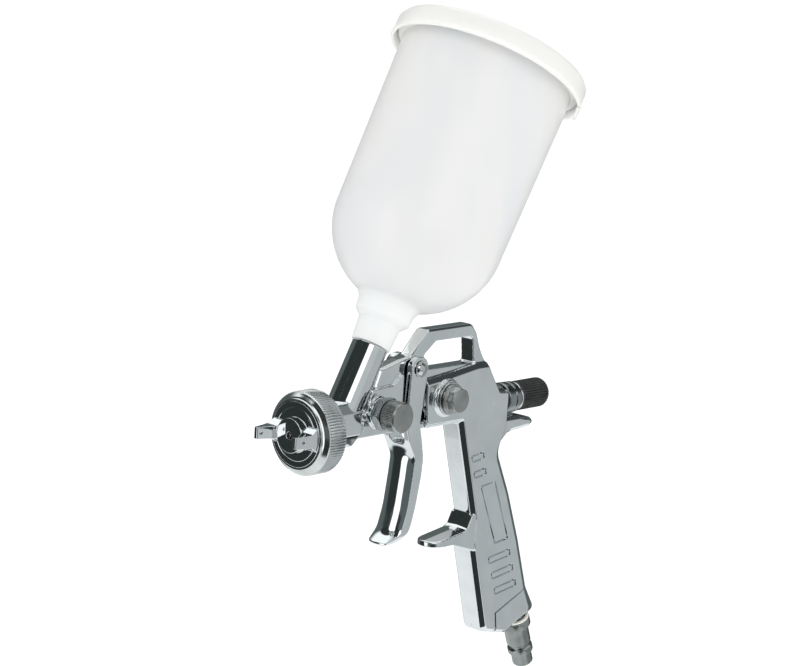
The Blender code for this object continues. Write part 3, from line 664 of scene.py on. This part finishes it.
def make_ring_and_cap():
    turned_piece("cap_ring_knurled", [
        (-3, 15.4, 0.15), (-3, 16.2, 0.25), (-2.35, 16.5, 0.1), (-2.1, 17.2, 0.15), (-1.2, 18.1, 0.6),
        (-0.5, 18.9, 0.3), (0.1, 19.1, 0), (0.5, 19.5, 0), (5, 19.5, 0),
        (9.7, 19.5, 0), (10.2, 18.9, 0.2), (10.5, 18.4, 0.2), (10.5, 17, 0.2), (-1.1, 17, 0),
        (-1.1, 15.4, 0.2),
    ], NICKEL, "cap_ring", "air_cap_ring", sides=720, ridges=(90, 0.4, 9.8, 0.7))
    cap = turned("cap_shell", [
        (1.2, 16.7), (-0.8, 16.7), (-0.8, 15.1), (-3.3, 15.1), (-3.3, 12.6), (-3.05, 12.4), (-3.3, 12.2),
        (-3.3, 8.1), (-7.4, 8.05), (-7.4, 1.7), (-6.6, 1.9), (-2.2, 6.4), (-1.5, 9.0),
        (-1.3, 14.0), (1.2, 14.4),
    ], sides=128)
    horns = []
    holes = []
    for side in (-1, 1):
        horn = plate("horn_side", rounded([
            (-1.5, side * 8.0, 0), (-6.4, side * 8.0, 2), (-16.4, side * 11.4, 0.6),
            (-16.4, side * 13.4, 0.6), (-8.0, side * 14.6, 0), (-1.5, side * 14.9, 0),
        ]), -7, 7, plane="XY")
        width = plate("horn_front", rounded([
            (0, -6, 0), (0, 6, 0), (-3.9, 5.2, 2), (-7.4, 3.0, 3), (-18, 2.6, 0), (-18, -2.6, 0),
            (-7.4, -3.0, 3), (-3.9, -5.2, 2),
        ]), -16, 16)
        combine(horn, [width], "INTERSECT")
        combine(horn, [rod("horn_limit", -20, 0, 14.95, sides=128)], "INTERSECT")
        horns.append(horn)
        holes.append(rod("horn_hole", -9, 9, 0.7, (-13.4, side * 12, 0), (1, side * 1.2, 0), 24))
    combine(cap, horns, "UNION")
    combine(cap, holes, "DIFFERENCE")
    cast("cap_casting", cap, CAP_VOXEL, 4, CHROME, "cap", "air_cap")


# ----------------------------------------------------- small turned pieces

def make_rear():
    turned_piece("guide_nut", [
        (118, 3.6, 0), (118, 4.9, 0.2), (138.9, 4.9, 0), (138.9, 8, 0.6), (143.4, 7.9, 0.3),
        (143.8, 7.4, 0.2), (144.4, 7.4, 0.2), (144.8, 7.85, 0.3), (147.8, 7.8, 0.5), (148.6, 7, 0.3),
        (148.6, 3, 0), (140, 3, 0), (140, 3.6, 0),
    ], DARK_CHROME, "gun", "needle_guide_nut")
    turned_piece("lock_ring", [
        (148.9, 3.1, 0), (148.9, 7.3, 0.4), (150.2, 7.3, 0.4), (150.2, 3.1, 0),
    ], CHROME, "gun", "knob_lock_ring")
    turned_piece("fluid_knob_knurled", [
        (133, 0, 0), (133, 2.7, 0.3), (150.5, 2.7, 0), (150.5, 7.1, 0.3), (151.2, 7.1, 0.2),
        (151.7, 7.5, 0.1), (160, 7.5, 0), (169.3, 7.5, 0.3), (170.8, 6.3, 0.5), (170.8, 0, 0),
    ], BLACK, "fluid_control", "fluid_knob", sides=288, ridges=(36, 151.4, 169.6, 0.7))


def make_fan_control():
    hexagon = turned("gland_hex", [(-13.3, 0), (-13.3, 8.4), (-8.8, 8.4), (-8.8, 0)], FAN, ALONG_Y, 6)
    chamfer = turned("gland_chamfer", [
        (-13.3, 0), (-13.3, 7.2), (-12.5, 8.5), (-9.6, 8.5), (-8.8, 7.2), (-8.8, 0)], FAN, ALONG_Y)
    combine(hexagon, [chamfer], "INTERSECT")
    combine(hexagon, [rod("gland_stub", -9, -4.8, 4.6, FAN, ALONG_Y)], "UNION")
    combine(hexagon, [rod("gland_bore", -16, 0, 2.2, FAN, ALONG_Y)], "DIFFERENCE")
    cast("fan_gland", hexagon, GLAND_VOXEL, 2, DARK_CHROME, "gun", "fan_gland_nut")
    turned_piece("fan_knob_turned", [
        (-22.2, 0, 0), (-22.2, 6.7, 0.3), (-21.5, 7.3, 0.2), (-21.0, 7.35, 0), (-17.5, 7.35, 0),
        (-14.4, 7.35, 0), (-13.6, 6.8, 0.2), (-13.6, 2.2, 0), (-17.9, 2.2, 0), (-17.9, 0, 0),
    ], SATIN, "fan_control", "fan_knob", FAN, ALONG_Y, 240, (60, -21.2, -14.2, 0.35))


def make_plugs():
    for name, side in (("left", 1), ("right", -1)):
        axis = (0, -side, 0)
        head = turned("plug_head", [(12, 0), (12, 6.3), (16.8, 6.3), (16.8, 0)], PLUG, axis, 8)
        chamfer = turned("plug_chamfer", [
            (12, 0), (12, 6.4), (16.1, 6.4), (16.8, 5.6), (16.8, 0)], PLUG, axis)
        combine(head, [chamfer], "INTERSECT")
        flange = turned("plug_flange", [
            (5.9, 0), (5.9, 3.7), (10.9, 3.7), (10.9, 7.3), (12.2, 7.3), (12.6, 6.0), (12.6, 0)], PLUG, axis)
        combine(head, [flange], "UNION")
        cast(f"cross_plug_{name}", head, PLUG_VOXEL, 2, SATIN, "gun", f"passage_plug_{name}")
        turned_piece(f"cross_washer_{name}", [
            (9.6, 4.0, 0), (9.6, 8.1, 0.3), (10.6, 8.1, 0.3), (10.6, 4.0, 0),
        ], STEEL, "gun", f"plug_washer_{name}", PLUG, axis)


def make_pivot():
    turned_piece("pivot_rivet", [
        (-10.2, 0, 0), (-10.05, 1.0, 0), (-9.8, 1.7, 0), (-9.4, 2.4, 0), (-9.0, 2.9, 0), (-8.6, 3.2, 0),
        (-8.6, 3.6, 0), (-8.9, 3.7, 0.1), (-8.9, 4.1, 0.1), (-8.5, 4.1, 0), (-8.5, 2.4, 0), (10.4, 2.4, 0.3),
        (10.4, 0, 0),
    ], NICKEL, "gun", "trigger_pivot_screw", PIVOT, ALONG_Y)
    nut = turned("pivot_hex", [(8.5, 0), (8.5, 4.6), (11.2, 4.6), (11.2, 0)], PIVOT, ALONG_Y, 6)
    chamfer = turned("pivot_chamfer", [
        (8.5, 0), (8.5, 4.7), (10.6, 4.7), (11.2, 3.9), (11.2, 0)], PIVOT, ALONG_Y)
    combine(nut, [chamfer], "INTERSECT")
    combine(nut, [rod("pivot_nut_bore", 5, 15, 2.7, PIVOT, ALONG_Y)], "DIFFERENCE")
    cast("pivot_nut", nut, PIVOT_VOXEL, 2, NICKEL, "gun", "trigger_pivot_nut")


def make_inlet():
    turned_piece("air_plug", [
        (-10, 3.0, 0), (-10, 5.7, 0), (1.6, 5.7, 0), (1.6, 8.0, 0.5), (5.6, 8.0, 0.5), (6.4, 6.3, 0.3),
        (15.8, 6.3, 0.3), (16.6, 5.2, 0.3), (17.8, 5.2, 0.3), (18.6, 6.5, 0.4), (21.4, 6.5, 0.4),
        (22.2, 5.3, 0.3), (28.2, 5.3, 0.6), (29.2, 4.4, 0.3), (29.2, 3.0, 0),
    ], PLUG_NICKEL, "gun", "air_inlet_nipple", INLET, INLET_AXIS)
    turned_piece("air_plug_seal", [
        (0.3, 6.1, 0), (0.3, 7.7, 0.2), (1.3, 7.7, 0.2), (1.3, 6.1, 0),
    ], SEAL, "gun", "inlet_seal", INLET, INLET_AXIS)


# ---------------------------------------------------------------------- cup

def bowl(first_radius, inset=0.0, steps=28):
    start = math.asin(first_radius / (41.0 - inset))
    points = []
    for k in range(steps + 1):
        angle = start + (math.pi / 2 - start) * k / steps
        points.append((60.0 - (39.5 - inset) * math.cos(angle), (41.0 - inset) * math.sin(angle), 0))
    return points


def make_cup():
    outside = [
        (-14, 5.1, 0), (-14, 6.3, 0.3), (0.3, 6.3, 0), (0.3, 9.4, 0.4), (11.6, 10.2, 0.8), (14.6, 13.3, 1.2),
        (19.8, 13.8, 1.5),
    ] + bowl(14.2)[1:] + [(138.8, 42.8, 0), (145.6, 42.8, 0), (146.4, 45.8, 0.3), (150.6, 45.8, 0.5)]
    inside = [(150.6, 41.2, 0.5), (138.8, 41.2, 0)] + bowl(5.1, 1.6)[::-1]
    turned_piece("cup_shell", outside + inside, CUP, "cup", "cup", CUP_RIM, CUP_AXIS, 160)
    turned_piece("cup_lid_shell", [
        (143.0, 46.9, 0.4), (143.0, 48.7, 0.6), (145.0, 48.7, 0.4), (145.4, 48.3, 0.2), (152.0, 48.2, 1.2),
        (154.1, 46.6, 1.0), (154.1, 43.6, 0.4), (153.5, 42.8, 0.4), (153.5, 0, 0), (152.2, 0, 0),
        (152.2, 39.4, 0),
        (146.5, 39.4, 0.2), (146.5, 40.6, 0.2), (152.2, 40.6, 0), (152.2, 46.9, 0),
    ], LID, "lid", "cup_lid", CUP_RIM, CUP_AXIS, 160)


def make_lid_tab():
    """The thumb tab under the lid's skirt, on the gun's left."""
    downhill = Vector((math.cos(CUP_LEAN), 0, -math.sin(CUP_LEAN)))
    outward = downhill * math.cos(TAB_ANGLE) - Vector(ALONG_Y) * math.sin(TAB_ANGLE)
    sideways = outward.cross(Vector(CUP_AXIS))
    bm = bmesh.new()
    for height in (TAB_LOW, TAB_HIGH):
        middle = Vector(CUP_RIM) + Vector(CUP_AXIS) * height
        for radius in (TAB_INSIDE, TAB_OUTSIDE):
            for offset in (-TAB_HALF, TAB_HALF):
                bm.verts.new(middle + outward * radius + sideways * offset)
    bmesh.ops.convex_hull(bm, input=bm.verts)
    bmesh.ops.dissolve_limit(bm, angle_limit=0.02, verts=bm.verts, edges=bm.edges)
    bmesh.ops.bevel(bm, geom=bm.edges, offset=0.5, segments=3, profile=0.5, affect="EDGES")
    mesh = finish_mesh(bm, "lid_tab")
    mesh.shade_smooth()
    show("lid_tab", mesh, LID, "lid", "cup_lid")


# ------------------------------------------------- CAD nodes that stay shown

def dress_frame():
    """Give the pieces inside the gun, which keep their CAD shape, their own finishes."""
    finishes = {
        "fluid_nozzle": STEEL, "air_distributor": BRASS, "fluid_needle": STEEL, "needle_packing": SEAL,
        "packing_nut": BRASS, "needle_spring": STEEL, "air_valve_stem": STEEL, "air_valve_seat": SEAL,
        "air_valve_spring": STEEL, "fan_valve_stem": BRASS, "cup_strainer": MESH,
    }
    for node, material in finishes.items():
        mesh = frame["nodes"][node].data
        mesh.materials.clear()
        mesh.materials.append(material)


# ------------------------------------------------------- studio and camera

def lobe(tree, colour, direction, inner, outer, value):
    """Paint a soft-edged patch of light or dark on the studio's walls, in one direction."""
    coords = tree.nodes["directions"]
    dot = tree.nodes.new("ShaderNodeVectorMath")
    dot.operation = "DOT_PRODUCT"
    dot.inputs[1].default_value = Vector(direction).normalized()
    tree.links.new(coords.outputs["Generated"], dot.inputs[0])
    mask = tree.nodes.new("ShaderNodeMapRange")
    mask.interpolation_type = "SMOOTHSTEP"
    mask.inputs["From Min"].default_value = math.cos(math.radians(outer))
    mask.inputs["From Max"].default_value = math.cos(math.radians(inner))
    tree.links.new(dot.outputs["Value"], mask.inputs["Value"])
    mix = tree.nodes.new("ShaderNodeMix")
    mix.data_type = "RGBA"
    tree.links.new(mask.outputs["Result"], mix.inputs["Factor"])
    tree.links.new(colour, mix.inputs["A"])
    mix.inputs["B"].default_value = (*value, 1)
    return mix.outputs["Result"]


def make_studio():
    """A white tent for everything matt, with the dark gaps and soft boxes that polished metal reflects."""
    world = bpy.data.worlds.new("studio")
    bpy.context.scene.world = world
    world.use_nodes = True
    tree = world.node_tree
    coords = tree.nodes.new("ShaderNodeTexCoord")
    coords.name = "directions"
    base = tree.nodes.new("ShaderNodeRGB")
    base.outputs[0].default_value = (0.11, 0.13, 0.13, 1)
    colour = base.outputs[0]
    dark = (0.028, 0.036, 0.034)
    for direction, inner, outer, value in (
            ((0, 0, -1), 56, 68, (0.92, 0.95, 0.96)),
            ((0.0, 0.25, 1), 36, 52, (1.15, 1.18, 1.18)),
            ((0.2, -0.94, 0.22), 26, 40, (0.55, 0.58, 0.59)),
            ((0.73, -0.66, -0.18), 24, 38, (0.47, 0.50, 0.51)),
            ((-0.73, 0.66, -0.18), 18, 30, dark),
            ((-0.55, -0.66, -0.45), 18, 24, dark),
            ((-0.72, -0.22, 0.64), 24, 31, dark),
            ((-0.62, 0.52, 0.57), 20, 27, dark),
            ((0.73, -0.18, 0.66), 12, 18, (0.05, 0.06, 0.06)),
            ((-0.98, 0.10, -0.15), 13, 17, (1.5, 1.52, 1.52)),
            ((-0.98, 0.10, 0.10), 13, 17, (1.5, 1.52, 1.52)),
            ((-0.93, 0.10, 0.35), 13, 17, (1.5, 1.52, 1.52)),
            ((-0.45, -0.77, 0.45), 11, 17, (1.8, 1.8, 1.8))):
        colour = lobe(tree, colour, direction, inner, outer, value)
    rays = tree.nodes.new("ShaderNodeLightPath")
    mix = tree.nodes.new("ShaderNodeMix")
    mix.data_type = "RGBA"
    tree.links.new(rays.outputs["Is Glossy Ray"], mix.inputs["Factor"])
    mix.inputs["A"].default_value = (0.97, 0.97, 0.965, 1)
    tree.links.new(colour, mix.inputs["B"])
    seen = tree.nodes.new("ShaderNodeMix")
    seen.data_type = "RGBA"
    tree.links.new(rays.outputs["Is Camera Ray"], seen.inputs["Factor"])
    tree.links.new(mix.outputs["Result"], seen.inputs["A"])
    seen.inputs["B"].default_value = (1, 1, 1, 1)
    background = tree.nodes["Background"]
    tree.links.new(seen.outputs["Result"], background.inputs["Color"])
    background.inputs["Strength"].default_value = 1.0

    for name, position, power in (("key", (-0.9, -0.5, 1.2), 2.0), ("fill", (0.7, -0.9, 0.7), 0.8)):
        light = bpy.data.lights.new(name, "AREA")
        light.shape = "DISK"
        light.size = LIGHT_SIZE
        light.energy = power
        lamp = bpy.data.objects.new(name, light)
        lamp.location = position
        lamp.rotation_euler = (-Vector(position)).to_track_quat("-Z", "Y").to_euler()
        lamp.visible_glossy = False
        bpy.context.scene.collection.objects.link(lamp)


def make_floor():
    low, _ = cad_box
    height = low.z - FLOOR_DROP
    bm = bmesh.new()
    bm.faces.new([bm.verts.new((x * FLOOR_REACH, y * FLOOR_REACH, height))
                  for x, y in ((-1, -1), (1, -1), (1, 1), (-1, 1))])
    mesh = bpy.data.meshes.new("floor")
    bm.to_mesh(mesh)
    bm.free()
    material, tree, shader = new_material("pale_floor")
    tree.links.new(ramp(tree, noise(tree, 3, 3), [(0.3, (0.93, 0.93, 0.93)), (0.7, (0.96, 0.96, 0.96))]),
                   shader.inputs["Base Color"])
    shader.inputs["Roughness"].default_value = 0.9
    shader.inputs["Emission Color"].default_value = (1, 1, 1, 1)
    shader.inputs["Emission Strength"].default_value = 0.22
    mesh.materials.append(material)
    floor = bpy.data.objects.new("floor", mesh)
    floor.visible_glossy = False
    bpy.context.scene.collection.objects.link(floor)


def make_camera():
    camera = bpy.data.cameras.new("camera")
    camera.sensor_width = 36
    camera.lens = 99.7
    camera.clip_start = 0.05
    camera.clip_end = 200
    viewer = bpy.data.objects.new("camera", camera)
    turn = Matrix((VIEW_RIGHT, VIEW_UP, VIEW_BACK)).transposed().to_4x4()
    viewer.matrix_world = Matrix.Translation(place(VIEWPOINT)) @ turn
    bpy.context.scene.collection.objects.link(viewer)
    bpy.context.scene.camera = viewer
    bpy.context.scene.view_settings.view_transform = "Standard"


make_casting()
make_trigger()
make_ring_and_cap()
make_rear()
make_fan_control()
make_plugs()
make_pivot()
make_inlet()
make_cup()
make_lid_tab()
dress_frame()
make_studio()
make_floor()
make_camera()
